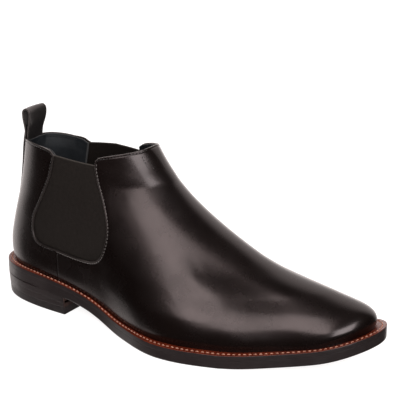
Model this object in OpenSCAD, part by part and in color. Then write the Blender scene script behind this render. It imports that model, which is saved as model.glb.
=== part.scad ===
// Chelsea boot, right foot: welted leather sole, stacked heel, two elastic gores and a pull tab.
// Frame: +X to the toe, +Z up, -Y to the outer (lateral) side, origin on the ground under the middle.

/* [Overall size] */
// length of the outsole from heel back to toe tip
sole_length = 305; // [255:1:335]
// widest width of the outsole, at the ball
sole_width = 107; // [88:0.5:122]
// height of the collar above the feather line
shaft_height = 118; // [90:1:145]

/* [Sole] */
// thickness of the leather outsole
outsole_t = 6.4; // [4:0.1:9]
// thickness of the welt and of the cork inside it
welt_t = 3.4; // [2.4:0.1:5]
// height of the heel block at its back
heel_height = 15.8; // [10:0.1:32]
// where the heel's front face stands, measured back from the middle
breast_x = 80.5; // [66:0.5:95]
// lift of the toe tip off the ground
toe_spring = 18.9; // [6:0.1:26]
// thickness of the rubber top piece under the heel
top_piece_t = 6; // [4:0.1:8]

/* [Upper] */
// thickness of the outer leather
leather_t = 1.4; // [1:0.05:2.2]
// thickness of the elastic, the counter and the toe puff between the leathers
middle_t = 1.4; // [1:0.05:2]
// thickness of the lining leather
lining_t = 0.9; // [0.6:0.05:1.4]
// how far the elastic runs on under the leather
gore_lap = 8; // [5:0.5:10]

/* [Pull tab] */
// width of the strap across the heel
strap_w = 21; // [14:0.5:28]
// thickness of the strap
strap_t = 1.3; // [1:0.1:1.8]
// height of the loop above its fold
loop_h = 20; // [14:0.5:28]

/* [Which piece] */
// one node, or all of them

/* [Hidden] */
eps = 0.05;                        // glue line between glued layers
kx = sole_length / 305;            // length against the base last
ky = sole_width / 107;             // width against the base last
kz = shaft_height / 118;           // height against the base last
last_top = 130;                    // level at which the last's sections end
feather = outsole_t + welt_t + 2 * eps;   // height of the feather line over the outsole's underside
middle_d = leather_t + 0.1;        // depth of the middle layer under the outer face
lining_d = middle_d + middle_t + 0.1;     // depth of the lining under the outer face
inner_d = lining_d + lining_t;     // depth of the innermost face
tape_r = 0.35;                     // radius of the upper's thread
welt_r = 0.5;                      // radius of the welt's thread
welt_pitch = 4.2;                  // length of one welt stitch with its gap
crease = 87;                       // level of the instep crease on the front ridge
stiff_gap = [0.7, 0.1];            // glue outside and inside the toe puff and the counter
$fn = 48;

// ---------- curves ----------

// slope of a table at one knot
function slope(xs, ys, i) =
  let (n = len(xs) - 1)
  i == 0 ? (ys[1] - ys[0]) / (xs[1] - xs[0]) :
  i == n ? (ys[n] - ys[n - 1]) / (xs[n] - xs[n - 1]) :
  let (a = xs[i] - xs[i - 1], b = xs[i + 1] - xs[i])
  ((ys[i] - ys[i - 1]) / a * b + (ys[i + 1] - ys[i]) / b * a) / (a + b);

// the span of a table that holds x
function span(xs, x, i = 0) = (i >= len(xs) - 2 || x < xs[i + 1]) ? i : span(xs, x, i + 1);

// smooth curve through a table
function curve(xs, ys, x) =
  let (
    v = min(max(x, xs[0]), xs[len(xs) - 1]),
    i = span(xs, v),
    w = xs[i + 1] - xs[i],
    t = (v - xs[i]) / w
  )
  (1 + 2 * t) * pow(1 - t, 2) * ys[i] + t * pow(1 - t, 2) * w * slope(xs, ys, i)
  + t * t * (3 - 2 * t) * ys[i + 1] + t * t * (t - 1) * w * slope(xs, ys, i + 1);

// smooth curve through a list of points, t from 0 to 1
function through(pts, t) =
  let (n = len(pts) - 1, k = [for (i = [0:n]) i])
  [curve(k, [for (p = pts) p[0]], t * n), curve(k, [for (p = pts) p[1]], t * n)];

function mix(a, b, t) = a + (b - a) * t;
function unit(v) = v / max(norm(v), 1e-9);

// ---------- sole ----------

// underside of the outsole at a place along the boot
under_x = [-160, -100, -85, -60, -30, -8, 30, 60, 90, 120, 153];
under_z = [15.8, 15.8, 14.4, 9.6, 1, 0, 0, 0, 3, 8.3, 18.9];
function under(x) =
  max(0, curve(under_x, under_z, x / kx)) * (x < 0 ? heel_height / 15.8 : toe_spring / 18.9);

// half widths of the outsole over the stations c = cos(angle from the toe)
sole_c = [-1, -0.7, -0.3, 0.1, 0.45, 0.75, 0.92, 1];
sole_out = [57.5, 46.5, 40.5, 59, 56.5, 53.5, 63, 65];
sole_in = [57.5, 45.5, 37.5, 48, 51, 51, 62, 65];
// middle line of the boot, seen from above
mid_x = [-150, -90, -20, 40, 90, 152];
mid_y = [0, 0, -2, -3, 0, 4];
function middle(x) = ky * curve(mid_x, mid_y, x / kx);

function rim_point(a) =
  let (c = cos(a), x = sole_length / 2 * c)
  [x, middle(x) - ky * curve(sole_c, sin(a) >= 0 ? sole_out : sole_in, c) * sin(a)];

// a closed line moved inward along its own normals
function inset(pts, d) = [
  for (i = [0:len(pts) - 1])
    let (
      n = len(pts),
      t = unit(pts[(i + 1) % n] - pts[(i + n - 1) % n]),
      e = is_list(d) ? d[i] : d
    )
    pts[i] + e * [t[1], -t[0]]
];
rim_n = 96;
rim_a = [for (i = [0:rim_n - 1]) 360 * (i + 0.5) / rim_n];
rim = [for (a = rim_a) rim_point(a)];

// solid between two heights over the outsole's underside, cut to a plan outline
module layer(outline, low, high, from = -160, to = 160) {
  steps = 40;
  xs = [for (i = [0:steps]) mix(max(from, -160) * kx, min(to, 160) * kx, i / steps)];
  intersection() {
    translate([0, 0, -10]) linear_extrude(heel_height + 60) polygon(outline);
    rotate([90, 0, 0]) translate([0, 0, -90]) linear_extrude(180) polygon(concat(
      [for (x = xs) [x, under(x) + low]],
      [for (i = [steps:-1:0]) [xs[i], under(xs[i]) + high]]
    ));
  }
}

// ---------- last: the outer face of the upper ----------

level = [0, 8, 20, 35, 50, 70, 90, 110, 130];
back_x = [-147, -148.5, -149, -147, -144, -140, -137, -135, -133];
front_x = [145, 146, 140.5, 117, 77, 38, 8, -12, -26];
// half widths, one row per level, over the stations below
last_c = [-1, -0.7, -0.3, 0.1, 0.45, 0.75, 0.92, 1];
last_w = [
  [52, 42.5, 37.5, 53, 50, 47, 55, 57],
  [52, 43.5, 39, 54.5, 51, 46, 53, 55],
  [50.5, 43.5, 40, 53.5, 47, 40, 41, 42],
  [47.5, 42.5, 39.5, 46.8, 40.2, 31.3, 30, 29],
  [43, 40, 37.5, 41.5, 37.5, 30, 28, 27],
  [36.5, 35.5, 35, 36, 33.5, 29.5, 27, 26.5],
  [31.5, 31.5, 31, 31.5, 30, 28, 26.5, 26],
  [28.5, 29, 28.5, 28.5, 28, 27, 26.5, 26],
  [27, 28, 27.5, 27, 27, 26.5, 26, 26]
];
// how much narrower the inner side is
waist_w = [0, 0.5, 4, 9, 5, 1, 0.3, 0];

function column(table, k) = [for (row = table) row[k]];
function back_at(h) = kx * curve(level, back_x, h);
function front_at(h) = kx * curve(level, front_x, h);
function width_at(h, c, inner) =
  let (
    ws = [for (k = [0:len(last_c) - 1]) curve(level, column(last_w, k), h)],
    fade = max(0, 1 - h / last_top)
  )
  ky * (curve(last_c, ws, c) - (inner ? curve(last_c, waist_w, c) * pow(fade, 0.6) : 0));

// point of the outer face at an angle from the toe and a level of the last
function skin(a, h) =
  let (
    b = back_at(h),
    f = front_at(h),
    c = cos(a),
    x = (b + f) / 2 + (f - b) / 2 * c,
    fade = max(0, 1 - h / last_top)
  )
  [x, middle(x) * fade - width_at(h, c, sin(a) < 0) * sin(a), h * kz + (under(x) + feather) * fade];

// angle from the toe of a place seen from the side
function angle_at(x, h) =
  let (b = back_at(h), f = front_at(h)) acos(min(1, max(-1, (x * kx - (b + f) / 2) * 2 / (f - b))));

// ---------- seams, as places along the boot and levels of the last ----------

collar_front = [[-25.2, 127.5], [-27.5, 126.3], [-35, 124.2], [-45.5, 121.5], [-53.5, 119], [-56.5, 116]];
collar_back = [[-134, 114.5], [-131, 116.3], [-122, 118], [-108, 118.3], [-97, 117], [-92, 113]];
// edge of the leather round the elastic: down its front, along its foot and up its back
gore_edge = [
  [-56.5, 116], [-56, 108.5], [-52.5, 97.5], [-46.5, 84.5], [-41, 70],
  [-39.8, 58], [-43.5, 45], [-52.5, 35.5], [-68, 31], [-87, 29.5],
  [-103, 29.5], [-109.5, 33.5], [-111.6, 42.5], [-110, 55], [-102, 75], [-95.5, 94], [-92, 113]
];
crease_k = 4;                      // where the instep crease meets that edge
side_k = 9;                        // where the side seam meets it
rear_k = 16;                       // its last point
lining_gap = 2.8;                  // distance of the linings from the elastic's edge
lining_front = 0.8;                // share of the front collar line that the lining takes up
lining_back = 0.68;                // share of the back collar line that the lining takes up
side_x = -87;                      // the side seam's place along the boot
foot_h = 0.15;                     // level at which the upper's pieces start

// the inner side's opening is wider: its back edge stands further back and lower, its front forward
function shifted(p, side) =
  let (
    w = side > 0 ? 0 : max(0, min(1, (p[0] + 134) / 30, (-24 - p[0]) / 30)) * p[1] / 115,
    s = max(-1, min(1, (p[0] + 74) / 20))
  )
  p + w * [6 * s, 4.5 * min(0, s)];
// a seam point as [signed angle, level]; side is 1 on the outer side and -1 on the inner side
function place(p, side) = let (q = shifted(p, side)) [side * angle_at(q[0], q[1]), q[1]];
function seam(pts, t, side) = place(through(pts, t), side);

// a point of the elastic's edge, moved d away from the elastic
function edge(k, d = 0) =
  let (
    t = k / rear_k,
    v = unit(through(gore_edge, min(1, t + 0.01)) - through(gore_edge, max(0, t - 0.01)))
  )
  through(gore_edge, t) + d * [-v[1], v[0]];

// ---------- shells ----------

// unit normals of a grid of points, flattened near the feather line
function normal(g, i, j) =
  let (
    m = len(g) - 1,
    n = len(g[0]) - 1,
    du = g[min(i + 1, m)][j] - g[max(i - 1, 0)][j],
    dv = g[i][min(j + 1, n)] - g[i][max(j - 1, 0)],
    c = cross(dv, du),
    over = (g[i][j][2] - under(g[i][j][0]) - feather) / 9
  )
  unit([c[0], c[1], c[2] * min(1, max(0, over))]);

// grid of points moved inward by d
function sunk(g, d) = [
  for (i = [0:len(g) - 1]) [for (j = [0:len(g[0]) - 1]) g[i][j] - d * normal(g, i, j)]
];

// closed shell between two depths under a grid; columns run along the boot, rows upward
module shell(g, outer, inner) {
  m = len(g);
  n = len(g[0]);
  a = sunk(g, outer);
  b = sunk(g, inner);
  k = m * n;
  quads = concat(
    [for (i = [0:m - 2]) for (j = [0:n - 2])
      [i * n + j, i * n + j + 1, (i + 1) * n + j + 1, (i + 1) * n + j]],
    [for (i = [0:m - 2]) for (j = [0:n - 2])
      [k + i * n + j, k + (i + 1) * n + j, k + (i + 1) * n + j + 1, k + i * n + j + 1]],
    [for (i = [0:m - 2]) [i * n, (i + 1) * n, k + (i + 1) * n, k + i * n]],
    [for (i = [0:m - 2]) [i * n + n - 1, k + i * n + n - 1, k + (i + 1) * n + n - 1, (i + 1) * n + n - 1]],
    [for (j = [0:n - 2]) [j, k + j, k + j + 1, j + 1]],
    [for (j = [0:n - 2]) let (q = (m - 1) * n + j) [q, q + 1, k + q + 1, k + q]]
  );
  polyhedron(
    points = [for (col = concat(a, b)) for (p = col) p],
    faces = [for (q = quads) each [[q[0], q[1], q[2]], [q[0], q[2], q[3]]]]
  );
}

// grid between a lower and an upper line of [angle, level] places, closer rows low down
function between(low, high, rows, ease = 1) = [
  for (i = [0:len(low) - 1]) [
    for (j = [0:rows]) let (q = mix(low[i], high[i], pow(j / rows, ease))) skin(q[0], q[1])
  ]
];

// grid that fans out from a ridge line to the two side edges, with its last row on a top line;
// ridge(v), and side_edge(v, side) and top_line(w, side) in places
function fan(cols, rows, ridge, side_edge, top_line, flip = 1) = [
  for (i = [-cols:cols]) let (u = flip * i / cols, w = abs(u), s = u < 0 ? -1 : 1) [
    for (j = [0:rows]) let (
      v = j / rows,
      r = ridge(v, s),
      q = mix(r, side_edge(v, s), w) + pow(v, 4) * (top_line(w, s) - mix(ridge(1, s), side_edge(1, s), w))
    ) skin(q[0], q[1])
  ]
];

// ---------- front of the upper ----------

cut_share = 0.36;                  // share of the vamp's columns that end on the instep crease
cut_gap = 0.4;                     // gap across the crease

function vamp_low(w, side) = [side * mix(0, angle_at(side_x, 0), w), foot_h];
function vamp_high(w, side, lap) =
  w < cut_share ? mix([0, crease], place(edge(crease_k, lap), side), w / cut_share) :
  place(edge(mix(crease_k, side_k, (w - cut_share) / (1 - cut_share)), lap), side);

function vamp_grid(cols, rows, lap) =
  let (us = [for (i = [-cols:cols]) i / cols])
  between(
    [for (u = us) vamp_low(abs(u), u < 0 ? -1 : 1)],
    [for (u = us) vamp_high(abs(u), u < 0 ? -1 : 1, lap)],
    rows, 1.25
  );

function shaft_ridge(v, side) = [0, mix(crease + cut_gap, 127.5, v)];
function shaft_grid(cols, rows, lap) = fan(
  cols, rows,
  function(v, s) shaft_ridge(v, s),
  function(v, s) place(edge(mix(crease_k - 0.03, 0, v), lap), s),
  function(w, s) seam(collar_front, lap > 0 ? w * lining_front : w, s)
);

module vamp() {
  color([0.09, 0.08, 0.075]) shell(vamp_grid(28, 17, 0), 0, leather_t);
}

module vamp_lining() {
  color([0.13, 0.16, 0.19]) shell(vamp_grid(16, 10, gore_lap + lining_gap), lining_d, inner_d);
}

module vamp_shaft() {
  color([0.09, 0.08, 0.075]) shell(shaft_grid(12, 8, 0), 0, leather_t);
}

module shaft_lining() {
  color([0.13, 0.16, 0.19]) shell(shaft_grid(10, 6, gore_lap + lining_gap), lining_d, inner_d);
}

puff_a = 44;                       // half angle of the toe puff
puff_h = 30;                       // rise of its edge from its ends to the ridge
puff_bow = 0.9;                    // how fully the edge is bowed: 1 makes it a half ellipse
module toe_puff() {
  as = [for (i = [-10:10]) puff_a * i / 10];
  g = between(
    [for (a = as) [a, foot_h + 0.6]],
    [for (a = as) [a * 0.96, 9 + puff_h * sqrt(1 - puff_bow * pow(a / puff_a, 2))]],
    8, 1.25
  );
  color([0.55, 0.5, 0.42]) shell(g, middle_d + stiff_gap[0], middle_d + middle_t - stiff_gap[1]);
}

// ---------- back of the upper ----------

seam_rows = 5;                     // rows of the quarter below the elastic
quarter_rows = 17;

// rows up the side seam and then round the elastic's foot and back
function quarter_side(v, side, lap) =
  let (j = v * quarter_rows, top = edge(side_k, lap))
  j < seam_rows ? place([side_x, mix(foot_h, top[1], j / seam_rows)], side) :
  place(edge(mix(side_k, rear_k, (j - seam_rows) / (quarter_rows - seam_rows)), lap), side);

function quarter_ridge(v, side, lap) =
  let (j = v * quarter_rows, low = edge(side_k, lap)[1] - 7)
  [side * 180, j < seam_rows ? mix(foot_h, low, j / seam_rows) :
    mix(low, collar_back[0][1], (j - seam_rows) / (quarter_rows - seam_rows))];

function quarter_grid(cols, lap) = fan(
  cols, quarter_rows,
  function(v, s) quarter_ridge(v, s, lap),
  function(v, s) quarter_side(v, s, lap),
  function(w, s) seam(collar_back, lap > 0 ? w * lining_back : w, s),
  -1
);

module quarter() {
  color([0.09, 0.08, 0.075]) shell(quarter_grid(14, 0), 0, leather_t);
}

module quarter_lining() {
  color([0.13, 0.16, 0.19]) shell(quarter_grid(10, gore_lap + lining_gap), lining_d, inner_d);
}

counter_a = 54;                    // half angle of the heel counter
counter_h = 17;                    // its level along the sides, clear of the elastic
counter_rise = 30;                 // how much higher it stands at the back
module heel_counter() {
  as = [for (i = [-10:10]) 180 + counter_a * i / 10];
  g = between(
    [for (a = as) [a, foot_h + 0.6]],
    [for (a = as) let (f = min(1, max(0, (34 - abs(a - 180)) / 20)))
      [a, counter_h + counter_rise * f * f * (3 - 2 * f)]],
    6
  );
  color([0.55, 0.5, 0.42]) shell(g, middle_d + stiff_gap[0], middle_d + middle_t - stiff_gap[1]);
}

// angle on the back of the boot at a sideways distance from the seam
function back_angle(y, h) = 180 + asin(y / width_at(h, -1, false));
strap_low = 61.5;                  // level of the strap's lower end
strap_end = 9;                     // width of the strap there
tail_low = 98;                     // level of the strap's inner end
tail_gap = 0.7;                    // glue between the strap's inner end and the lining
strap_high = 113.3;                // level where both its ends stop, under the fold

function strap_grid(low, cols, rows) = [for (i = [-cols:cols]) [for (j = [0:rows])
  let (
    v = j / rows,
    h = mix(low, strap_high, v),
    half = mix(strap_end, strap_w, pow((h - strap_low) / (strap_high - strap_low), 1.5)) / 2
  )
  skin(back_angle(half * i / cols, h), h)
]];

module back_strap() {
  color([0.07, 0.065, 0.06]) shell(strap_grid(strap_low, 4, 10), -0.1 - strap_t, -0.1);
}

module strap_tail() {
  color([0.07, 0.065, 0.06]) shell(strap_grid(tail_low, 4, 4), inner_d + tail_gap, inner_d + tail_gap + strap_t);
}

// the loop folds on a line just above the back of the collar
fold_r = 1.9;
loop_r = 3.2;
loop_lean = 8;
collar_top = skin(180, collar_back[0][1]);
fold = collar_top + [inner_d / 2, 0, fold_r + 2.3];

module pull_tab() {
  color([0.07, 0.065, 0.06])
  translate(fold) rotate([0, loop_lean, 0]) rotate([90, 0, 0]) translate([0, 0, -strap_w / 2])
  linear_extrude(strap_w) difference() {
    hull() {
      circle(fold_r);
      translate([0, loop_h - loop_r]) circle(loop_r);
    }
    hull() {
      translate([0, 4]) circle(0.3);
      translate([0, loop_h - loop_r]) circle(loop_r - strap_t);
    }
  }
}

// ---------- elastic ----------

function gore_grid(side, cols, rows) =
  let (
    foot_k = 6.5,
    heel_k = 11,
    top_k = [0.6, 15.95],
    tl = edge(top_k[1], gore_lap),
    tr = edge(top_k[0], gore_lap),
    us = [for (i = [0:cols]) side > 0 ? i / cols : 1 - i / cols]
  )
  [for (u = us) [for (j = [0:rows])
    let (
      v = j / rows,
      front = edge(mix(foot_k, top_k[0], v), gore_lap),
      rear = edge(mix(heel_k, top_k[1], v), gore_lap),
      foot = edge(mix(foot_k, heel_k, u), gore_lap),
      top = mix(tr, tl, u),
      corner = mix(mix(edge(foot_k, gore_lap), edge(heel_k, gore_lap), u), top, v),
      q = place(mix(front, rear, u) + mix(foot, top, v) - corner, side)
    )
    skin(q[0], q[1])
  ]];

module gore(side) {
  color([0.16, 0.145, 0.13]) shell(gore_grid(side, 10, 12), middle_d, middle_d + middle_t);
}

module gore_lateral() { gore(1); }
module gore_medial() { gore(-1); }

// ---------- thread ----------

// outward normal of the outer face at a place
function outward(q) = unit(cross(
  skin(q[0], q[1] + 0.3) - skin(q[0], q[1] - 0.3), skin(q[0] + 0.3, q[1]) - skin(q[0] - 0.3, q[1])
));
function thread_point(q, lift) = skin(q[0], q[1]) + outward(q) * (lift + tape_r + 0.12);

// one stitch between two points
module stitch(p, q, r) {
  d = q - p;
  translate(p) rotate([0, acos(d[2] / norm(d)), atan2(d[1], d[0])]) cylinder(h = norm(d), r = r, $fn = 16);
}

// a row of stitches along places at(t), t from 0 to 1
module row(at, count, lift = 0) {
  for (i = [0:count - 1]) {
    stitch(thread_point(at((i + 0.14) / count), lift), thread_point(at((i + 0.86) / count), lift), tape_r);
  }
}

seam_in = 1.9;                     // distance of a stitch row from its edge

module gore_stitching(side) {
  color([0.2, 0.18, 0.16]) {
    row(function(t) place(edge(mix(crease_k + 0.15, side_k - 0.2, t), seam_in), side), 22);
    row(function(t) place(edge(mix(side_k + 0.2, rear_k, t), seam_in), side), 32);
  }
}
module gore_stitching_lateral() { gore_stitching(1); }
module gore_stitching_medial() { gore_stitching(-1); }

module side_seam_stitching() {
  color([0.2, 0.18, 0.16])
  for (side = [-1, 1]) row(function(t) place([side_x + seam_in, mix(3, 26, t)], side), 7);
}

module quarter_stitching() {
  color([0.2, 0.18, 0.16])
  for (side = [-1, 1])
    row(function(t) let (q = through(collar_back, mix(0.36, 0.9, t))) place(q - [0, seam_in + 0.6], side), 10);
}

module strap_stitching() {
  color([0.2, 0.18, 0.16])
  for (side = [-1, 1])
    row(function(t) let (h = mix(strap_low + 2, strap_high - 4, t)) [back_angle(side * 3, h), h], 14,
      strap_t + 0.1);
}

module shaft_stitching() {
  color([0.2, 0.18, 0.16])
  for (side = [-1, 1]) {
    row(function(t) place(edge(mix(crease_k - 0.25, 0.4, t), seam_in), side), 14);
    row(function(t) let (q = through(collar_front, mix(0.02, 0.86, t))) place(q - [0, seam_in + 0.4], side), 12);
  }
  // two short rows that hold the lining's label behind the front of the collar
  color([0.2, 0.18, 0.16])
  for (y = [21, 27]) row(function(t) [y, mix(121, 112.5, t)], 3);
}

// ---------- sole pieces ----------

foot_line = [for (a = rim_a) let (p = skin(a, 0)) [p[0], p[1]]];

module outsole() {
  color([0.2, 0.165, 0.15]) difference() {
    layer(rim, 0, outsole_t);
    heel_pins(1.15);
  }
}

module welt() {
  color([0.52, 0.2, 0.12]) difference() {
    layer(rim, outsole_t + eps, outsole_t + eps + welt_t);
    translate([0, 0, -1]) linear_extrude(80) polygon(inset(foot_line, 7));
  }
}

module cork_filler() {
  color([0.62, 0.45, 0.28]) difference() {
    layer(inset(foot_line, 7.1), outsole_t + eps, outsole_t + eps + welt_t);
    layer(shank_line(0.1), outsole_t + welt_t - 1.6, outsole_t + welt_t + 3);
  }
}

function shank_line(grow) = [
  [-104 * kx - grow, 6 + grow], [-104 * kx - grow, -8 - grow],
  [-14 * kx + grow, -10 - grow], [-14 * kx + grow, 6 + grow]
];
module shank() {
  color([0.6, 0.6, 0.62]) layer(shank_line(0), outsole_t + welt_t - 1.5, outsole_t + welt_t);
}

module insole_board() {
  color([0.66, 0.5, 0.34]) layer(inset(foot_line, inner_d + 1.2), feather, feather + 2.4);
}

module sock_liner() {
  color([0.13, 0.16, 0.19]) layer(inset(foot_line, inner_d + 1.9), feather + 2.45, feather + 3.6);
}

// tapered heel block between two heights, its top against the outsole
heel_taper = 0.965;
heel_mid = -115;
module heel_slab(low, high) {
  intersection() {
    translate([heel_mid * kx, 0, heel_height]) mirror([0, 0, 1])
    linear_extrude(height = heel_height, scale = heel_taper)
    translate([-heel_mid * kx, 0]) polygon(rim);
    translate([-200, -80, low]) cube([200 - breast_x * kx, 160, high - low]);
    rotate([90, 0, 0]) translate([0, 0, -90]) linear_extrude(180) polygon(concat(
      [[-200, -1], [0, -1]],
      [for (i = [0:14]) let (x = mix(-70, -104, i / 14) * kx) [x, under(x) - eps]],
      [[-200, heel_height - eps]]
    ));
  }
}
lift_t = (heel_height - top_piece_t) / 2;

// six nails up through the lifts into the outsole
module heel_pins(r) {
  low = top_piece_t + 0.4;
  for (a = [0:60:300])
    translate([heel_mid * kx + 22 * cos(a), 20 * ky * sin(a), low])
      cylinder(h = heel_height + 3 - low + (r > 1.1 ? 0.1 : 0), r = r);
}

module heel_lift_1() {
  color([0.2, 0.15, 0.13]) difference() {
    heel_slab(top_piece_t + lift_t + eps, heel_height + 1);
    heel_pins(1.15);
  }
}

module heel_lift_2() {
  color([0.2, 0.15, 0.13]) difference() {
    heel_slab(top_piece_t + eps, top_piece_t + lift_t);
    heel_pins(1.15);
  }
}

module heel_top_piece() {
  color([0.1, 0.09, 0.09]) heel_slab(0, top_piece_t);
}

module heel_nails() {
  color([0.72, 0.6, 0.35]) heel_pins(1.1);
}

// stitches round the welt at an even pitch, nearer its edge where less of it shows
stitch_in = 2.9;
stitch_share = 0.5;
stitch_lift = 0.15;
welt_line = inset(rim, [
  for (i = [0:rim_n - 1]) min(stitch_in, stitch_share * norm(rim[i] - foot_line[i]))
]);
function run(pts, i = 0, s = 0) =
  i > len(pts) - 1 ? [s] : concat([s], run(pts, i + 1, s + norm(pts[(i + 1) % len(pts)] - pts[i])));
module welt_stitching() {
  lens = run(welt_line);
  total = lens[len(welt_line)];
  count = floor(total / welt_pitch);
  ring = concat(welt_line, [welt_line[0]]);
  function at(s) =
    let (i = span(lens, s), q = mix(ring[i], ring[i + 1], (s - lens[i]) / (lens[i + 1] - lens[i])))
    [q[0], q[1], under(q[0]) + feather + welt_r + stitch_lift];
  color([0.85, 0.55, 0.42])
  for (i = [0:count - 1]) stitch(at((i + 0.1) * total / count), at((i + 0.82) * total / count), welt_r);
}

outsole();
welt();
welt_stitching();
cork_filler();
shank();
insole_board();
sock_liner();
heel_lift_1();
heel_lift_2();
heel_top_piece();
heel_nails();
toe_puff();
heel_counter();
vamp();
vamp_lining();
quarter();
quarter_lining();
gore_lateral();
gore_medial();
gore_stitching_lateral();
gore_stitching_medial();
side_seam_stitching();
quarter_stitching();
back_strap();
strap_tail();
strap_stitching();
pull_tab();
vamp_shaft();
shaft_lining();
shaft_stitching();
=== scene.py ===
import math

import bmesh
import bpy
import numpy as np
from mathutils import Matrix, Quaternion, Vector

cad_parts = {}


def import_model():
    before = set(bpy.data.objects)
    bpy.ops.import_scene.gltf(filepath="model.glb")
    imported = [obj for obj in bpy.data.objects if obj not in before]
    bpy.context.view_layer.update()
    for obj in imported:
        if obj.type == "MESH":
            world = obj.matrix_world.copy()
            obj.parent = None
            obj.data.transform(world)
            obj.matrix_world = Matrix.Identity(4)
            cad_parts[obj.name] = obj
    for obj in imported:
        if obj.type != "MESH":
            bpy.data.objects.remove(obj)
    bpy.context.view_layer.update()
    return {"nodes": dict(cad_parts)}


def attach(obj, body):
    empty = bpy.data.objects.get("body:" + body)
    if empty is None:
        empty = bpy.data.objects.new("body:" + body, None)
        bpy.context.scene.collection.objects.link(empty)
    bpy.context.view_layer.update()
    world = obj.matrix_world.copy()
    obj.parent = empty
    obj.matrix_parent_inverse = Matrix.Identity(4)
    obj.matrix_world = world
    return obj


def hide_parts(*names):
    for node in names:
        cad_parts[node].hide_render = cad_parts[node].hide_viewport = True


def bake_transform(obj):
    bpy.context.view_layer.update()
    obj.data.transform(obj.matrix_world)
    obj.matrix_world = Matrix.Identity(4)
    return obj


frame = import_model()
MM = 0.001  # the boot's own sizes below are in millimetres
BOOT, COLLAR, TAB = "boot", "collar", "tab"

# ---- sizes and curves of the boot, the same as in the CAD part ----

SOLE_LENGTH, OUTSOLE_T, WELT_T, HEEL_HEIGHT = 305.0, 6.4, 3.4, 15.8
BREAST_X, TOP_PIECE_T, GLUE = 80.5, 6.0, 0.05
LEATHER_T, MIDDLE_T, LINING_T, GORE_LAP = 1.4, 1.4, 0.9, 8.0
STRAP_W, STRAP_T, LOOP_H, LOOP_LEAN = 21.0, 1.3, 20.0, math.radians(8)
LAST_TOP, CREASE = 130.0, 87.0
FEATHER = OUTSOLE_T + WELT_T + 2 * GLUE
LINING_D = LEATHER_T + MIDDLE_T + 0.2

UNDER_X = [-160, -100, -85, -60, -30, -8, 30, 60, 90, 120, 153]
UNDER_Z = [15.8, 15.8, 14.4, 9.6, 1, 0, 0, 0, 3, 8.3, 18.9]
STATIONS = [-1, -0.7, -0.3, 0.1, 0.45, 0.75, 0.92, 1]
SOLE_OUT = [57.5, 46.5, 40.5, 59, 56.5, 53.5, 63, 65]
SOLE_IN = [57.5, 45.5, 37.5, 48, 51, 51, 62, 65]
MID_X = [-150, -90, -20, 40, 90, 152]
MID_Y = [0, 0, -2, -3, 0, 4]
LEVEL = [0, 8, 20, 35, 50, 70, 90, 110, 130]
BACK_X = [-147, -148.5, -149, -147, -144, -140, -137, -135, -133]
FRONT_X = [145, 146, 140.5, 117, 77, 38, 8, -12, -26]
LAST_W = np.array([
    [52, 42.5, 37.5, 53, 50, 47, 55, 57],
    [52, 43.5, 39, 54.5, 51, 46, 53, 55],
    [50.5, 43.5, 40, 53.5, 47, 40, 41, 42],
    [47.5, 42.5, 39.5, 46.8, 40.2, 31.3, 30, 29],
    [43, 40, 37.5, 41.5, 37.5, 30, 28, 27],
    [36.5, 35.5, 35, 36, 33.5, 29.5, 27, 26.5],
    [31.5, 31.5, 31, 31.5, 30, 28, 26.5, 26],
    [28.5, 29, 28.5, 28.5, 28, 27, 26.5, 26],
    [27, 28, 27.5, 27, 27, 26.5, 26, 26],
])
WAIST_W = [0, 0.5, 4, 9, 5, 1, 0.3, 0]
COLLAR_FRONT = [[-25.2, 127.5], [-27.5, 126.3], [-35, 124.2], [-45.5, 121.5], [-53.5, 119], [-56.5, 116]]
COLLAR_BACK = [[-134, 114.5], [-131, 116.3], [-122, 118], [-108, 118.3], [-97, 117], [-92, 113]]
GORE_EDGE = [
    [-56.5, 116], [-56, 108.5], [-52.5, 97.5], [-46.5, 84.5], [-41, 70],
    [-39.8, 58], [-43.5, 45], [-52.5, 35.5], [-68, 31], [-87, 29.5],
    [-103, 29.5], [-109.5, 33.5], [-111.6, 42.5], [-110, 55], [-102, 75], [-95.5, 94], [-92, 113],
]
CREASE_K, SIDE_K, REAR_K = 4, 9, 16  # where on GORE_EDGE the crease, the side seam and the rear end lie
SIDE_X = -87.0  # x of the side seam
LOW = -0.4  # level of the uppers' lowest row, just under the feather line
FLATTEN = 9.0  # height over the feather line within which normals turn level
CUT = 0.36  # share of the vamp's columns that run up into its shaft
VAMP_EASE, FAN_EASE = 1.25, 4


def mix(a, b, t):
    return a + (b - a) * t


def smooth(t):
    t = np.clip(t, 0, 1)
    return t * t * (3 - 2 * t)


def slopes(xs, ys):
    gap = np.diff(xs).reshape(-1, *([1] * (ys.ndim - 1)))
    d = np.diff(ys, axis=0) / gap
    inner = (d[:-1] * gap[1:] + d[1:] * gap[:-1]) / (gap[:-1] + gap[1:])
    return np.concatenate([d[:1], inner, d[-1:]])


def curve(xs, ys, x):
    """Smooth curve through a table; ys holds numbers, or one array like x for each knot."""
    xs, x = np.asarray(xs, float), np.asarray(x, float)
    ys = np.asarray(ys, float)
    v = np.clip(x, xs[0], xs[-1])
    i = np.clip(np.searchsorted(xs, v, side="right") - 1, 0, len(xs) - 2)
    m = slopes(xs, ys)
    if ys.ndim == 1:
        y0, y1, m0, m1 = ys[i], ys[i + 1], m[i], m[i + 1]
    else:
        pairs = ((ys, i), (ys, i + 1), (m, i), (m, i + 1))
        y0, y1, m0, m1 = (np.take_along_axis(table, k[None], 0)[0] for table, k in pairs)
    w = xs[i + 1] - xs[i]
    t = (v - xs[i]) / w
    start = (1 + 2 * t) * (1 - t) ** 2 * y0 + t * (1 - t) ** 2 * w * m0
    return start + t * t * (3 - 2 * t) * y1 + t * t * (t - 1) * w * m1


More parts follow.
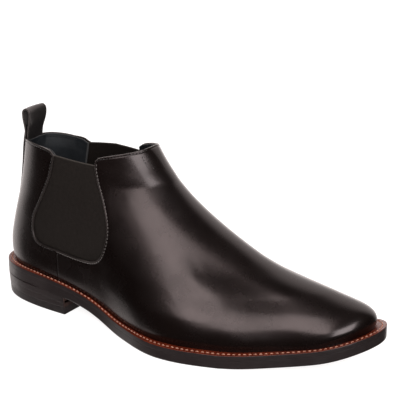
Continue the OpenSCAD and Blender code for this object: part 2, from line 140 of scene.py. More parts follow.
def through(pts, t):
    """Point at a fraction of a smooth curve through points."""
    pts = np.asarray(pts, float)
    knots = np.arange(len(pts))
    s = np.asarray(t, float) * (len(pts) - 1)
    return np.stack([curve(knots, pts[:, 0], s), curve(knots, pts[:, 1], s)], -1)


def unit(v):
    return v / np.maximum(np.linalg.norm(v, axis=-1, keepdims=True), 1e-12)


def under(x):
    """Height of the outsole's underside."""
    return np.maximum(0, curve(UNDER_X, UNDER_Z, x))


def middle(x):
    return curve(MID_X, MID_Y, x)


def rim_point(a):
    """Point of the sole's outline at an angle from the toe."""
    c, s = np.cos(a), np.sin(a)
    x = SOLE_LENGTH / 2 * c
    half = np.where(s >= 0, curve(STATIONS, SOLE_OUT, c), curve(STATIONS, SOLE_IN, c))
    return np.stack([x, middle(x) - half * s], -1)


def ends(h):
    """x of the upper's back and front at a level."""
    return curve(LEVEL, BACK_X, h), curve(LEVEL, FRONT_X, h)


def width_at(h, c, inner):
    """Half width of the upper at a level and a station; the inner side has a narrower waist."""
    h, c, inner = np.broadcast_arrays(h, c, inner)
    columns = np.stack([curve(LEVEL, LAST_W[:, k], h) for k in range(len(STATIONS))])
    fade = np.maximum(0, 1 - h / LAST_TOP)
    return curve(STATIONS, columns, c) - np.where(inner, curve(STATIONS, WAIST_W, c) * fade ** 0.6, 0)


def skin(a, h):
    """Point of the upper's outer face at an angle from the toe and a level of the last."""
    a, h = np.broadcast_arrays(np.asarray(a, float), np.asarray(h, float))
    b, f = ends(h)
    c, s = np.cos(a), np.sin(a)
    x = (b + f) / 2 + (f - b) / 2 * c
    fade = np.maximum(0, 1 - h / LAST_TOP)
    return np.stack([x, middle(x) * fade - width_at(h, c, s < 0) * s, h + (under(x) + FEATHER) * fade], -1)


def outward(a, h):
    """Outward normal of that face, turned level near the feather line."""
    da, dh = 0.002, 0.15
    n = unit(np.cross(skin(a, h + dh) - skin(a, h - dh), skin(a + da, h) - skin(a - da, h)))
    p = skin(a, h)
    rise = np.clip((p[..., 2] - under(p[..., 0]) - FEATHER) / FLATTEN, 0, 1)
    return unit(n * np.stack([np.ones_like(rise), np.ones_like(rise), rise], -1))


def skin_and_normals(places):
    return skin(places[..., 0], places[..., 1]), outward(places[..., 0], places[..., 1])


def angle_at(x, h):
    """Angle of the face's point at an x and a level."""
    b, f = ends(h)
    return np.arccos(np.clip((x - (b + f) / 2) * 2 / (f - b), -1, 1))


def shifted(p, side):
    """The inner side's opening is wider than the outer side's."""
    if side > 0:
        return p
    w = np.clip(np.minimum((p[..., 0] + 134) / 30, (-24 - p[..., 0]) / 30), 0, 1) * p[..., 1] / 115
    s = np.clip((p[..., 0] + 74) / 20, -1, 1)
    return np.stack([p[..., 0] + 6 * s * w, p[..., 1] + 4.5 * np.minimum(0, s) * w], -1)


def place(p, side):
    """[angle, level] of a point given by its x and level on one side."""
    q = shifted(np.asarray(p, float), side)
    return np.stack([side * angle_at(q[..., 0], q[..., 1]), q[..., 1]], -1)


def edge(k, d=0.0):
    """Point of the edge round the elastic, moved d away from the elastic."""
    t = np.asarray(k, float) / REAR_K
    v = unit(through(GORE_EDGE, np.minimum(1, t + 0.01)) - through(GORE_EDGE, np.maximum(0, t - 0.01)))
    return through(GORE_EDGE, t) + np.asarray(d, float)[..., None] * np.stack([-v[..., 1], v[..., 0]], -1)


# ---- grids of [angle, level] places ----

# distances from an edge at which a grid has extra rows
NEAR = np.array([0, 0.08, 0.2, 0.35, 0.5, 0.7, 0.95, 1.2, 1.5, 1.8, 2.1, 2.5, 3.1, 4, 5.2, 7])
LEAST_STEP = 0.04


def spread(length, count, start=False, end=True):
    """Fractions from 0 to 1 over a length, closer together at the ends named."""
    parts = [np.linspace(0, 1, count)]
    if start:
        parts.append(NEAR / length)
    if end:
        parts.append(1 - NEAR / length)
    f = np.unique(np.round(np.concatenate(parts), 9))
    keep = [0]
    least = LEAST_STEP / length
    for i in range(1, len(f) - 1):
        if f[i] - f[keep[-1]] > least and f[-1] - f[i] > least:
            keep.append(i)
    return f[keep + [len(f) - 1]]


def vamp_places(w, v, side, lap=0.0):
    foot = np.stack([side * mix(0, angle_at(SIDE_X, 0.0), w), np.full_like(w, LOW)], -1)
    corner = place(edge(CREASE_K, lap), side)
    on_crease = mix(np.array([0, CREASE]), corner, (w / CUT)[:, None])
    on_edge = place(edge(mix(CREASE_K, SIDE_K, np.clip((w - CUT) / (1 - CUT), 0, 1)), lap), side)
    top = np.where((w <= CUT)[:, None], on_crease, on_edge)
    return mix(foot[:, None], top[:, None], (v ** VAMP_EASE)[None, :, None])


def fan_places(w, v, ridge, side_edge, top_line):
    """Places between a ridge and an edge, bent at the top to meet the collar's line."""
    q = mix(ridge[None], side_edge[None], w[:, None, None])
    return q + (v ** FAN_EASE)[None, :, None] * (top_line - q[:, -1])[:, None]


def shaft_places(w, v, side, lap=0.0, drop=0.0):
    ridge = np.stack([0 * v, mix(CREASE, COLLAR_FRONT[0][1] - drop, v)], -1)
    rim = place(edge(mix(CREASE_K, 0, v), lap), side)
    top = place(through(COLLAR_FRONT, w) - [0, drop], side)
    return fan_places(w, v, ridge, rim, top)


SEAM_ROWS, QUARTER_ROWS = 5, 17  # rows beside the side seam, and in all
RIDGE_DROP = 7  # how far the back's ridge lags behind the seam's top


def quarter_places(w, v, side, lap=0.0, drop=0.0):
    j = v * QUARTER_ROWS
    t = np.clip((j - SEAM_ROWS) / (QUARTER_ROWS - SEAM_ROWS), 0, 1)
    corner = edge(SIDE_K, lap)
    up = np.stack([np.full_like(v, SIDE_X), mix(LOW, corner[1], np.clip(j / SEAM_ROWS, 0, 1))], -1)
    below = (j < SEAM_ROWS)[:, None]
    rim = np.where(below, place(up, side), place(edge(mix(SIDE_K, REAR_K, t), lap), side))
    step = corner[1] - RIDGE_DROP
    rise = np.where(j < SEAM_ROWS, mix(LOW, step, j / SEAM_ROWS), mix(step, COLLAR_BACK[0][1], t))
    ridge = np.stack([np.full_like(v, side * math.pi), rise], -1)
    top = place(through(COLLAR_BACK, w) - [0, drop], side)
    return fan_places(w, v, ridge, rim, top)


def gore_places(u, v, side):
    """The elastic, which runs on under the leathers round it."""
    foot_k, heel_k, front_k, rear_k = 6.5, 11.0, 0.6, 15.95
    us, vs = u[:, None, None], v[None, :, None]

    def rim(k):
        return edge(k, GORE_LAP)

    front, rear = rim(mix(foot_k, front_k, v))[None], rim(mix(heel_k, rear_k, v))[None]
    foot = rim(mix(foot_k, heel_k, u))[:, None]
    top = mix(rim(front_k), rim(rear_k), us)
    corner = mix(mix(rim(foot_k), rim(heel_k), us), top, vs)
    return place(mix(front, rear, us) + mix(foot, top, vs) - corner, side)


def both_sides(w, build, flip=False):
    """One grid whose columns run with increasing angle over both sides of a ridge."""
    inner, outer = build(w, -1), build(w, 1)
    if flip:
        inner[..., 0] += 2 * math.pi
        return np.concatenate([outer[::-1], inner[1:]])
    return np.concatenate([inner[::-1], outer[1:]])


# ---- seams as lines, and distances to them ----


SIDES = (1, -1)  # the outer side, then the inner
SIDE_NAMES = ((1, "lateral"), (-1, "medial"))
SEAM_TOP = 29.5  # level of the side seam's upper end
T = np.linspace(0, 1, 500)


def lines_of(points):
    return [skin(*place(points, side).T) for side in SIDES]


GORE_LINES = lines_of(edge(T * REAR_K))
FRONT_LINES = lines_of(through(COLLAR_FRONT, T))
BACK_LINES = lines_of(through(COLLAR_BACK, T))
SEAM_LINES = lines_of(np.stack([np.full_like(T, SIDE_X), T * SEAM_TOP], -1))


BATCH = 8000  # points measured at a time


def distance(points, lines):
    """Distance of each point to the nearest of some lines."""
    flat = points.reshape(-1, 3)
    best = np.full(len(flat), np.inf)
    for line in lines:
        for k in range(0, len(flat), BATCH):
            p = flat[k:k + BATCH]
            d2 = (p ** 2).sum(1)[:, None] - 2 * p @ line.T + (line ** 2).sum(1)[None]
            i = d2.argmin(1)
            for a, b in ((np.maximum(i - 1, 0), i), (i, np.minimum(i + 1, len(line) - 1))):
                ab = line[b] - line[a]
                t = np.clip(((p - line[a]) * ab).sum(1) / np.maximum((ab ** 2).sum(1), 1e-12), 0, 1)
                d = np.linalg.norm(p - line[a] - ab * t[:, None], axis=1)
                best[k:k + BATCH] = np.minimum(best[k:k + BATCH], d)
    return best.reshape(points.shape[:-1])


def rounded(d, r):
    """Depth of a rounded edge at a distance from it."""
    e = np.clip(r - d, 0, r)
    return r - np.sqrt(r * r - e * e)


# ---- meshes ----


SHARP = math.radians(40)  # edges bent more than this stay sharp


def add(name, data):
    """A new object in the scene."""
    obj = bpy.data.objects.new(name, data)
    bpy.context.scene.collection.objects.link(obj)
    return obj


def make(name, points, faces, material, body=None, parts=None, sharp=True, edge_wear_and_highlight=None):
    """A mesh from points in millimetres. parts gives a material index to each face."""
    mesh = bpy.data.meshes.new(name)
    mesh.from_pydata((np.asarray(points) * MM).tolist(), [], [list(f) for f in faces])
    for m in material if isinstance(material, list) else [material]:
        mesh.materials.append(m)
    if parts is not None:
        mesh.polygons.foreach_set("material_index", np.asarray(parts, np.int32))
    mesh.polygons.foreach_set("use_smooth", np.ones(len(mesh.polygons), bool))
    if edge_wear_and_highlight is not None:
        attribute = mesh.attributes.new("wear_and_highlight", "FLOAT", "POINT")
        attribute.data.foreach_set("value", edge_wear_and_highlight.astype(np.float32))
    mesh.update()
    if sharp:
        mesh.set_sharp_from_angle(angle=SHARP)
    obj = add(name, mesh)
    if body:
        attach(obj, body)
    return obj


def grid_quads(m, n):
    i, j = np.meshgrid(np.arange(m - 1), np.arange(n - 1), indexing="ij")
    a = (i * n + j).ravel()
    return np.stack([a, a + 1, a + n + 1, a + n], -1)


def thicken(p, n, a, b, wear_and_highlight, quads=None):
    """Closed sheet between depths a and b under points: its points, its faces, the edge wear and painted
    highlight at each point.
    """
    if quads is None:
        quads = grid_quads(*p.shape[:2])
    outer, inner = ((p - n * depth[..., None]).reshape(-1, 3) for depth in (a, b))
    k = len(outer)
    edges = np.concatenate([quads[:, [0, 1]], quads[:, [1, 2]], quads[:, [2, 3]], quads[:, [3, 0]]])
    key = np.sort(edges, 1)
    code = key[:, 0].astype(np.int64) * k + key[:, 1]
    _, first, count = np.unique(code, return_index=True, return_counts=True)
    rim = edges[first[count == 1]]
    walls = np.stack([rim[:, 1], rim[:, 0], rim[:, 0] + k, rim[:, 1] + k], -1)
    faces = np.concatenate([quads, quads[:, ::-1] + k, walls])
    return np.concatenate([outer, inner]), faces, np.tile(wear_and_highlight.ravel(), 2)


STITCH_IN = 1.5  # distance of a row of stitches from the leather's edge
GROOVE_W = 0.35  # half width of the groove that the stitches pull
FOLD_R, BEAD, GROOVE = 0.5, 0.12, 0.16  # radius of a folded edge, height of its bead, depth of that groove


def bell(d, width):
    return np.exp(-(d / width) ** 2)


def leather_depths(d, thick):
    """Depths of a leather's two faces at a distance from its folded and stitched edge."""
    lift = BEAD * bell(d - 0.6, 0.45)
    dip = GROOVE * bell(d - STITCH_IN, GROOVE_W)
    return rounded(d, FOLD_R) - lift + dip, thick - rounded(d, FOLD_R * 0.6)


W_SHAFT = spread(50, 60)
W_VAMP = np.unique(np.concatenate([W_SHAFT * CUT, CUT + (1 - CUT) * spread(150, 90, start=True)]))
V_VAMP = spread(60, 90)
V_SHAFT = spread(32, 34)


def creases(p):
    """Folds and flex lines of a worn-in vamp: how far its face sinks, in millimetres."""
    x, y, z = p[..., 0], p[..., 1], p[..., 2]
    out = np.zeros_like(x)
    # the fold across the ankle, sharp above and rolling out below
    s = z - (103.5 + 0.10 * (x + 20))
    out += 0.55 * np.exp(-np.sqrt(s * s + 0.2) / np.where(s < 0, 10.0, 5.0)) * smooth((x + 48) / 14)
    # a fine crease lower on the instep
    s = z - (66.5 + 0.16 * (x - 8))
    reach = smooth((-y - 14) / 8) * smooth((x + 6) / 10) * smooth((34 - x) / 8)
    out += 0.16 * bell(s, 0.7) * reach
    # flex lines that fan over the ball, stronger near the waist
    r = np.hypot(x - 62, z - 8)
    t = np.arctan2(z - 8, -(x - 62))
    zone = bell(r - 52, 16) * smooth((-y - 20) / 12) * bell(t - 0.95, 0.38)
    ripple = np.sin(t * 46 + 1.6 * np.sin(r * 0.11)) + 0.35 * np.sin(t * 83 + r * 0.12 + 1.3)
    out += 0.030 * zone * ripple
    return out


def sheet(places, quads, lines, depth_of):
    """Closed sheet over places; depth_of gives the two depths and the edge wear and painted highlight at
    each.
    """
    p, n = skin_and_normals(places)
    return thicken(p, n, *depth_of(p, lines), quads)


def vamp_skin(lines, depth_of, w_shaft, w_vamp, v_vamp, v_shaft, lap=0.0, drop=0.0):
    """The vamp with its shaft as one closed sheet: points, faces and the edge wear and painted highlight at
    each point.
    """
    low = both_sides(w_vamp, lambda w, s: vamp_places(w, v_vamp, s, lap))
    high = both_sides(w_shaft, lambda w, s: shaft_places(w, v_shaft, s, lap, drop))
    m1, n1, m2, n2 = low.shape[0], low.shape[1], high.shape[0], high.shape[1]
    off = (m1 - m2) // 2
    places = np.concatenate([low.reshape(-1, 2), high[:, 1:].reshape(-1, 2)])
    index = np.empty((m2, n2), int)
    index[:, 0] = (np.arange(m2) + off) * n1 + n1 - 1
    index[:, 1:] = m1 * n1 + np.arange(m2 * (n2 - 1)).reshape(m2, n2 - 1)
    upper = np.stack([index[:-1, :-1], index[:-1, 1:], index[1:, 1:], index[1:, :-1]], -1).reshape(-1, 4)
    quads = np.concatenate([grid_quads(m1, n1), upper])
    return sheet(places, quads, lines, depth_of)


# ---- materials ----


class Mat:
    """A small builder of node materials."""

    def __init__(self, name, color, roughness, **sockets):
        self.mat = bpy.data.materials.new(name)
        self.mat.use_nodes = True
        self.tree = self.mat.node_tree
        self.bsdf = self.tree.nodes["Principled BSDF"]
        self.bsdf.inputs["Base Color"].default_value = (*color, 1)
        self.bsdf.inputs["Roughness"].default_value = roughness
        for k, v in sockets.items():
            self.bsdf.inputs[k.replace("_", " ")].default_value = v
        self.coords = self.node("ShaderNodeTexCoord").outputs["Object"]

    def node(self, kind, inputs=None, **props):
        n = self.tree.nodes.new(kind)
        for k, v in props.items():
            setattr(n, k, v)
        for k, v in (inputs or {}).items():
            if isinstance(v, bpy.types.NodeSocket):
                self.tree.links.new(v, n.inputs[k])
            else:
                n.inputs[k].default_value = v
        return n

    def scaled(self, scale):
        return self.node("ShaderNodeMapping", {"Vector": self.coords, "Scale": scale}).outputs[0]

    def noise(self, scale, detail=3.0, rough=0.55, vector=None, distortion=0.0):
        return self.node("ShaderNodeTexNoise", {
            "Vector": vector or self.coords, "Scale": scale, "Detail": detail, "Roughness": rough,
            "Distortion": distortion,
        }).outputs[0]

    def voronoi(self, scale):
        return self.node("ShaderNodeTexVoronoi", {"Vector": self.coords, "Scale": scale}).outputs["Distance"]

    def wave(self, scale, inputs, way):
        return self.node("ShaderNodeTexWave", {"Vector": self.coords, "Scale": scale, **inputs},
                         bands_direction=way).outputs["Fac"]

    def wear_and_highlight(self):
        """How worn an edge is and how much painted highlight it carries, an attribute of the mesh."""
        return self.node("ShaderNodeAttribute", attribute_name="wear_and_highlight").outputs["Fac"]

    def ramp(self, value, stops):
        n = self.node("ShaderNodeValToRGB", {"Fac": value})
        el = n.color_ramp.elements
        while len(el) < len(stops):
            el.new(0.5)
        for e, (pos, col) in zip(el, stops):
            e.position = pos
            e.color = (*col, 1) if isinstance(col, tuple) else (col, col, col, 1)
        return n.outputs[0]

    def math(self, op, a, b=0.0):
        return self.node("ShaderNodeMath", {0: a, 1: b}, operation=op).outputs[0]

    def total(self, a, a_share, b, b_share):
        return self.math("ADD", self.math("MULTIPLY", a, a_share), self.math("MULTIPLY", b, b_share))

    def range(self, value, lo, hi, to_lo=0.0, to_hi=1.0):
        return self.node("ShaderNodeMapRange", {
            "Value": value, "From Min": lo, "From Max": hi, "To Min": to_lo, "To Max": to_hi,
        }).outputs[0]

    def blend(self, fac, a, b):
        n = self.node("ShaderNodeMix", data_type="RGBA")
        for sock, v in zip([s for s in n.inputs if s.enabled][:3], (fac, a, b)):
            if isinstance(v, bpy.types.NodeSocket):
                self.tree.links.new(v, sock)
            else:
                sock.default_value = v if isinstance(v, float) else (*v, 1)
        return [s for s in n.outputs if s.enabled][0]

    def set(self, socket, value):
        self.tree.links.new(value, self.bsdf.inputs[socket])
        return self

    def rough(self, scale, detail, low, high):
        self.set("Roughness", self.range(self.noise(scale, detail), 0.3, 0.7, low, high))

    def bump(self, *layers):
        """layers are (height, distance in metres, strength)."""
        normal = None
        for height, dist, strength in layers:
            ins = {"Height": height, "Distance": dist, "Strength": strength}
            if normal is not None:
                ins["Normal"] = normal
            normal = self.node("ShaderNodeBump", ins).outputs[0]
        return self.set("Normal", normal)


def polished_leather(name, dark, light, rough, grain=0.6):
    m = Mat(name, dark, rough, Coat_Weight=0.2, Coat_Roughness=0.14, Specular_Tint=(1, 0.86, 0.85, 1))
    wear_and_highlight = m.wear_and_highlight()
    tone = m.noise(16, 4)
    base = m.ramp(tone, [(0.3, dark), (0.75, light)])
    # edges blend to a lighter colour: edge wear and a painted highlight along the folded edges
    patchy_wear_and_highlight = m.math("MULTIPLY", wear_and_highlight, m.range(m.noise(300, 3), 0.3, 0.7, 0.55, 1.0))
    m.set("Base Color", m.blend(patchy_wear_and_highlight, base, (0.085, 0.074, 0.068)))
    shine = m.range(m.noise(55, 5), 0.3, 0.7, rough - 0.04, rough + 0.05)
    m.set("Roughness", m.math("ADD", shine, m.math("MULTIPLY", wear_and_highlight, 0.15)))
    soft = m.noise(150, 4, 0.55, vector=m.scaled((1, 1, 1.6)))
    lines = m.noise(1.0, 4, 0.6, vector=m.scaled((95, 95, 540)), distortion=0.4)
    patches = m.range(m.noise(26, 3), 0.45, 0.68)
    return m.bump(
        (m.math("MULTIPLY", lines, patches), 0.00040, 0.22 * grain), (soft, 0.00035, 0.16 * grain),
        (m.voronoi(1500), 0.00006, 0.35 * grain), (m.noise(2600, 3, 0.6), 0.00003, 0.3 * grain)).mat


def elastic_cloth():
    m = Mat("elastic_cloth", (0.008, 0.0065, 0.0055), 0.85, Specular_IOR_Level=0.12)
    weft = m.wave(420.0, {"Distortion": 0.6, "Detail": 1.0, "Detail Scale": 3.0}, "Z")
    mixed = m.total(weft, 0.5, m.noise(420, 4), 0.6)
    tone = m.ramp(mixed, [(0.25, (0.0090, 0.0070, 0.0060)), (0.8, (0.0165, 0.0132, 0.0113))])
    m.set("Base Color", m.blend(m.wear_and_highlight(), tone, (0.085, 0.075, 0.066)))
    return m.bump((weft, 0.00012, 0.5), (m.voronoi(1900), 0.00010, 0.5)).mat


def lining_leather():
    m = Mat("lining_leather", (0.010, 0.013, 0.016), 0.55, Specular_IOR_Level=0.35)
    tone = m.ramp(m.noise(60, 5), [(0.3, (0.009, 0.011, 0.013)), (0.75, (0.019, 0.023, 0.027))])
    m.set("Base Color", m.blend(m.wear_and_highlight(), tone, (0.075, 0.075, 0.075)))
    m.rough(140, 4, 0.48, 0.66)
    return m.bump((m.noise(240, 5), 0.0003, 0.25), (m.voronoi(1100), 0.00008, 0.5)).mat


def thread(name, dark, light):
    m = Mat(name, dark, 0.6, Specular_IOR_Level=0.3, Sheen_Weight=0.3)
    m.set("Base Color", m.ramp(m.noise(700, 3), [(0.3, dark), (0.7, light)]))
    return m.bump((m.wave(900.0, {"Distortion": 1.5}, "DIAGONAL"), 0.00012, 0.6)).mat


def welt_leather():
    m = Mat("welt_leather", (0.17, 0.03, 0.01), 0.5, Specular_IOR_Level=0.3)
    tone = m.total(m.noise(90, 4), 0.6, m.noise(700, 3), 0.4)
    m.set("Base Color", m.ramp(tone, [
        (0.3, (0.075, 0.009, 0.003)), (0.55, (0.18, 0.024, 0.007)), (0.78, (0.30, 0.055, 0.018))]))
    m.rough(200, 4, 0.36, 0.52)
    return m.bump((m.noise(900, 4), 0.0001, 0.4), (m.voronoi(1300), 0.00006, 0.4)).mat


def edge_leather(name, dark, light, rough):
    """Dyed and burnished leather edge: fine lines along the layers."""
    m = Mat(name, dark, rough, Coat_Weight=0.2, Coat_Roughness=0.22)
    layers = m.noise(60, 5, 0.6, vector=m.scaled((1, 1, 26)))
    tone = m.total(layers, 0.45, m.noise(38, 4), 0.55)
    m.set("Base Color", m.ramp(tone, [(0.32, dark), (0.7, light)]))
    m.rough(120, 4, rough - 0.05, rough + 0.1)
    return m.bump((layers, 0.00018, 0.30), (m.noise(800, 4), 0.00006, 0.3)).mat


def plain(name, dark, light, rough, scale, metallic=0.0):
    m = Mat(name, dark, rough, Metallic=metallic)
    m.set("Base Color", m.ramp(m.noise(scale, 5), [(0.3, dark), (0.7, light)]))
    m.rough(scale * 2, 4, rough - 0.06, rough + 0.08)
    return m.bump((m.noise(scale * 4, 4), 0.00015, 0.3)).mat


UPPER = polished_leather("upper_leather", (0.0026, 0.0014, 0.0012), (0.0052, 0.0030, 0.0025), 0.26)
STRAP = polished_leather("strap_leather", (0.012, 0.011, 0.011), (0.022, 0.020, 0.019), 0.42, 1.4)
ELASTIC = elastic_cloth()
LINING = lining_leather()
# UPPER_THREAD and DARK_THREAD serve as lit and shaded copies of one thread on the gores: a painted highlight
# on the front rows, painted shade on the rear rows
UPPER_THREAD = thread("upper_thread", (0.060, 0.052, 0.047), (0.130, 0.115, 0.105))
DARK_THREAD = thread("upper_thread_dark", (0.010, 0.008, 0.007), (0.022, 0.018, 0.016))
WELT_THREAD = thread("welt_thread", (0.50, 0.20, 0.12), (0.78, 0.40, 0.28))
WELT_TOP = welt_leather()
SOLE_EDGE = edge_leather("sole_edge", (0.011, 0.0075, 0.0075), (0.026, 0.0185, 0.0185), 0.36)
HEEL_EDGE = edge_leather("heel_edge", (0.011, 0.0075, 0.0075), (0.026, 0.0185, 0.0185), 0.36)
SOLE_UNDER = plain("sole_under", (0.060, 0.030, 0.018), (0.105, 0.058, 0.036), 0.45, 70)
BREAST = plain("heel_breast", (0.022, 0.011, 0.009), (0.042, 0.022, 0.018), 0.5, 90)
RUBBER = plain("heel_rubber", (0.011, 0.008, 0.008), (0.023, 0.018, 0.018), 0.42, 160)
SOCK = plain("sock_leather", (0.014, 0.017, 0.020), (0.030, 0.036, 0.040), 0.55, 120)

# ---- upper ----


SEAM_HIGH = 45  # height below which the side seam dents the leather
SEAM_R = 0.28
LEAST_T = 0.15  # the thinnest that creases and grooves leave a leather


def outer_leather(p, lines):
    d = distance(p, lines)
    seam = distance(p, SEAM_LINES)
    a, b = leather_depths(d, LEATHER_T - 0.05)
    a = a + np.where(p[:, 2] < SEAM_HIGH, rounded(seam, SEAM_R), 0) + creases(p) * smooth((d - 3) / 5)
    # the edges are painted lighter: edge wear and a painted highlight, full on the front edges below the
    # collar top and a third of that towards the rear
    front = 0.35 + 0.65 * smooth((p[:, 0] + 66) / 6) * (p[:, 2] < 132)
    wear_and_highlight = 0.85 * front * bell(np.clip(d - 0.2, 0, None), 0.3)
    return np.minimum(a, b - LEAST_T), b, wear_and_highlight


pts, faces, wear_and_highlight = vamp_skin(GORE_LINES + FRONT_LINES, outer_leather, W_SHAFT, W_VAMP, V_VAMP, V_SHAFT)
vamp = make("vamp_upper", pts, faces, UPPER, edge_wear_and_highlight=wear_and_highlight)
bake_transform(vamp)
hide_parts("vamp", "vamp_shaft")

W_QUARTER = spread(60, 60)
SEAM_V = SEAM_ROWS / QUARTER_ROWS
V_QUARTER = np.unique(np.concatenate([spread(110, 90), [SEAM_V], SEAM_V + NEAR[1:] / 260]))


def quarter_skin(lines, depth_of, w_quarter, v_quarter, lap=0.0, drop=0.0):
    """The quarter as one closed sheet round the heel."""
    places = both_sides(w_quarter, lambda w, s: quarter_places(w, v_quarter, s, lap, drop), flip=True)
    return sheet(places.reshape(-1, 2), grid_quads(*places.shape[:2]), lines, depth_of)


pts, faces, wear_and_highlight = quarter_skin(GORE_LINES + BACK_LINES, outer_leather, W_QUARTER, V_QUARTER)
quarter = make("quarter_upper", pts, faces, UPPER, BOOT, edge_wear_and_highlight=wear_and_highlight)
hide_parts("quarter")

# ---- elastic ----

RIB, RIB_OUT, RIB_IN = 1.15, 0.16, 0.12 # spacing of the ribs, and their height outside and inside
HEM, HEM_DIP, HEM_R = 3.2, 0.10, 0.3  # the turned top: height, step and edge radius
GORE_D, GORE_T = 1.5, 1.0  # depth of the elastic's outer face, and its thickness
for side, name in SIDE_NAMES:
    u, v = np.linspace(0, 1, 430), spread(90, 60)
    p, n = skin_and_normals(gore_places(u, v, side)[::side])
    run = np.cumsum(np.linalg.norm(np.diff(p, axis=0, prepend=p[:1]), axis=-1), 0)
    run = run - run[-1:] * 0.5
    rib = 0.5 - 0.5 * np.cos(2 * math.pi * run / RIB)
    top = np.cumsum(np.linalg.norm(np.diff(p[:, ::-1], axis=1, prepend=p[:, -1:]), axis=-1), 1)[:, ::-1]
    hem = smooth((HEM - top) / 0.5)
    a = GORE_D + RIB_OUT * rib * (1 - hem) - HEM_DIP * hem + rounded(top, HEM_R)
    b = GORE_D + GORE_T - RIB_IN * rib * (1 - hem) - rounded(top, HEM_R)
    pts, faces, wear_and_highlight = thicken(p, n, a, b, 0.8 * bell(top, 0.5))
    gore = make(f"gore_elastic_{name}", pts, faces, ELASTIC, edge_wear_and_highlight=wear_and_highlight)
    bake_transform(gore)
    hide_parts(f"gore_{name}")

# ---- lining ----

LINING_THICK = 0.75  # as seen; the CAD lining is a little thicker
LINING_LAP, LINING_DROP = 0.9, 0.5  # how far the lining stops short of the gores and of the collar
LINING_STITCH_IN = 3.4  # distance of its stitches from the collar's edge
TAIL_LENGTH = 14.0  # length of the strap's inner end below the collar
COLLAR_D = LEATHER_T + 0.02
FADE = 12  # distance over which the lining sinks to its full depth


def lining_depths(p, lines):
    top = distance(p, lines)
    gore = distance(p, GORE_LINES)
    beside_gore = mix(COLLAR_D, GORE_D + GORE_T + 0.1, smooth((FADE - gore) / 3))
    deep = np.maximum(mix(COLLAR_D, LINING_D, smooth(top / FADE)), beside_gore)
    d = np.minimum(np.clip(gore - LINING_LAP, 0, None), np.clip(top - LINING_DROP, 0, None))
    at_strap = smooth((STRAP_W / 2 + 2 - np.abs(p[:, 1])) / 3) * smooth((TAIL_LENGTH + 4 - top) / 4)
    over_strap = at_strap * (p[:, 0] < -100)
    deep = np.maximum(deep, mix(deep, COLLAR_D + STRAP_T + 0.15, over_strap))
    dip = 0.12 * bell(top - LINING_STITCH_IN, GROOVE_W)
    return deep + rounded(d, 0.2), deep + LINING_THICK - rounded(d, 0.3) - dip, 0.9 * bell(d, 0.4)


W_COARSE, V_COARSE = spread(50, 40), spread(32, 30)
W_FRONT = np.unique(np.concatenate([W_COARSE * CUT, CUT + (1 - CUT) * spread(150, 60, start=True)]))
pts, faces, wear_and_highlight = vamp_skin(FRONT_LINES, lining_depths, W_COARSE, W_FRONT, spread(60, 50), V_COARSE,
                             LINING_LAP, LINING_DROP)
front = make("lining_front", pts, faces, LINING, edge_wear_and_highlight=wear_and_highlight)
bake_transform(front)
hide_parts("vamp_lining", "shaft_lining")

V_BACK = np.unique(np.concatenate([spread(110, 60), [SEAM_V]]))
pts, faces, wear_and_highlight = quarter_skin(BACK_LINES, lining_depths, W_COARSE, V_BACK, LINING_LAP, LINING_DROP)
back = make("lining_back", pts, faces, LINING, BOOT, edge_wear_and_highlight=wear_and_highlight)
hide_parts("quarter_lining")

# ---- thread ----


def along_line(line):
    """Distance run along a line at each of its points."""
    return np.concatenate([[0], np.cumsum(np.linalg.norm(np.diff(line, axis=0), axis=1))])


def at_run(run, values, x):
    """A line's values at distances along it."""
    return np.array([np.interp(x, run, values[:, k]) for k in range(values.shape[1])])


AROUND, ALONG = 8, 7  # points round a stitch, and rings along it
RAISE, DIP = 0.35, 1.35  # how far its middle stands out and its ends sink, in radii


def stitches(name, rows, r, pitch, material, body=None, fill=0.74):
    """Rows of stitches, each row (points, normals) along a line.

    A stitch is a capsule that sinks at its ends and covers the share fill of its pitch.
    """
    points, faces = [], []
    s = np.linspace(-1, 1, ALONG)
    t = np.linspace(0, 2 * math.pi, AROUND, endpoint=False)
    count = 0
    ring = []
    for i in range(ALONG - 1):
        for j in range(AROUND):
            low, high, beside = i * AROUND, (i + 1) * AROUND, (j + 1) % AROUND
            ring.append([low + j, low + beside, high + beside, high + j])
    caps = [list(range(AROUND))[::-1], [(ALONG - 1) * AROUND + j for j in range(AROUND)]]
    for line, normals in rows:
        run = along_line(line)
        n = max(1, int(round(run[-1] / pitch)))
        for i in range(n):
            at = (np.array([0.5 - fill / 2, 0.5 + fill / 2]) + i) * run[-1] / n
            p, q = (at_run(run, line, x) for x in at)
            up = unit(at_run(run, normals, at.mean()))
            ahead = unit(q - p)
            across = unit(np.cross(up, ahead))
            half = np.linalg.norm(q - p) / 2
            radius = r * np.clip(1 - np.abs(s) ** 4, 0.12, 1) ** 0.5
            lift = r * (RAISE - DIP * s ** 4)
            centre = (p + q) / 2 + s[:, None] * half * ahead + lift[:, None] * up
            circle = np.cos(t)[:, None] * across + np.sin(t)[:, None] * up
            capsule = centre[:, None] + radius[:, None, None] * circle[None]
            points.append(capsule.reshape(-1, 3))
            faces += [[count + k for k in f] for f in ring + caps]
            count += AROUND * ALONG
    return make(name, np.concatenate(points), faces, material, body, sharp=False)


def on_skin(places, depth):
    """Points at a depth under the upper's face, with their normals."""
    p, n = skin_and_normals(places)
    return p - n * depth, n


def collar_rows(line, outer_span, inner_span):
    """Stitch rows under the collar's edge, outside and inside, on both sides."""
    t = np.linspace(0, 1, 200)
    rows = []
    for side in SIDES:
        outer = place(through(line, mix(*outer_span, t)) - [0, COLLAR_STITCH_IN], side)
        inner = place(through(line, mix(*inner_span, t)) - [0, LINING_STITCH_IN], side)
        p, n = on_skin(inner, COLLAR_D + 1.0)
        rows += [on_skin(outer, THREAD_D), (p, -n)]
    return rows


